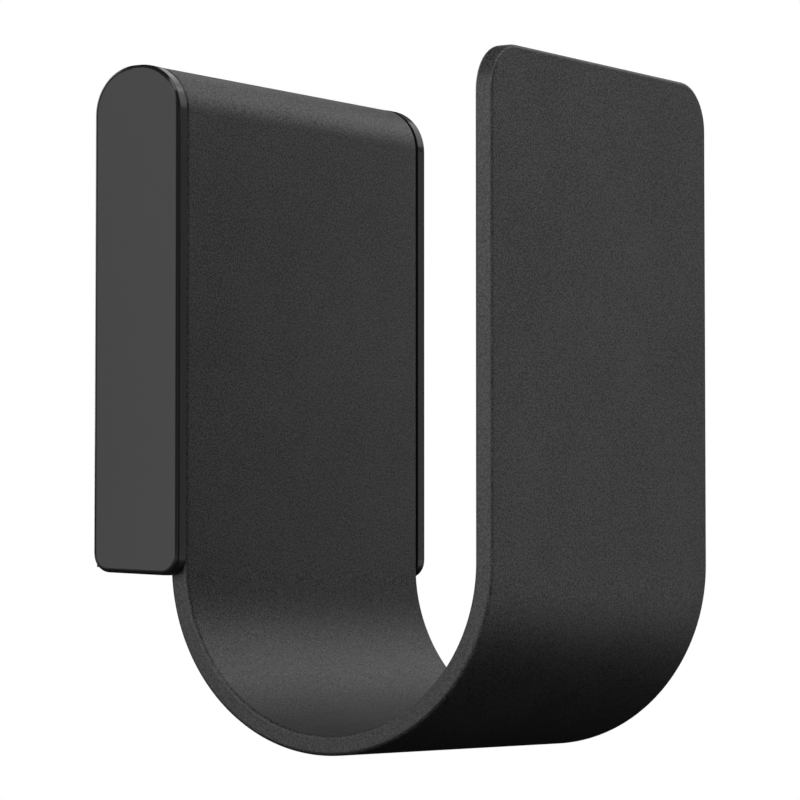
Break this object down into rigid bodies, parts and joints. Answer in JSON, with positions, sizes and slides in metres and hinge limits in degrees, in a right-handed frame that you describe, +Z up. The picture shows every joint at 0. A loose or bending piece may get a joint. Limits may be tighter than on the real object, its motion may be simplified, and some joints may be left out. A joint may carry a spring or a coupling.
{
  "type": "ev connector holder",
  "caption": "Wall holder for a charging connector or looped cable: flat coated strip bent into a deep open cradle, its folded top hung on a moulded bracket with round-topped side cheeks.",
  "frame": {"origin": "on the wall plane, midway between the two wall screws", "axes": "+X to the right seen from the front, -Y to the front and +Y into the wall, +Z up"},
  "size_m": [0.098, 0.0971, 0.1455],
  "materials": {
    "strip": "near-black powder coat with a fine matt texture",
    "bracket": "near-black satin moulding"
  },
  "bodies": {
    "root": {"hook_strip": "strip", "wall_bracket": "bracket"}
  },
  "joints": []
}
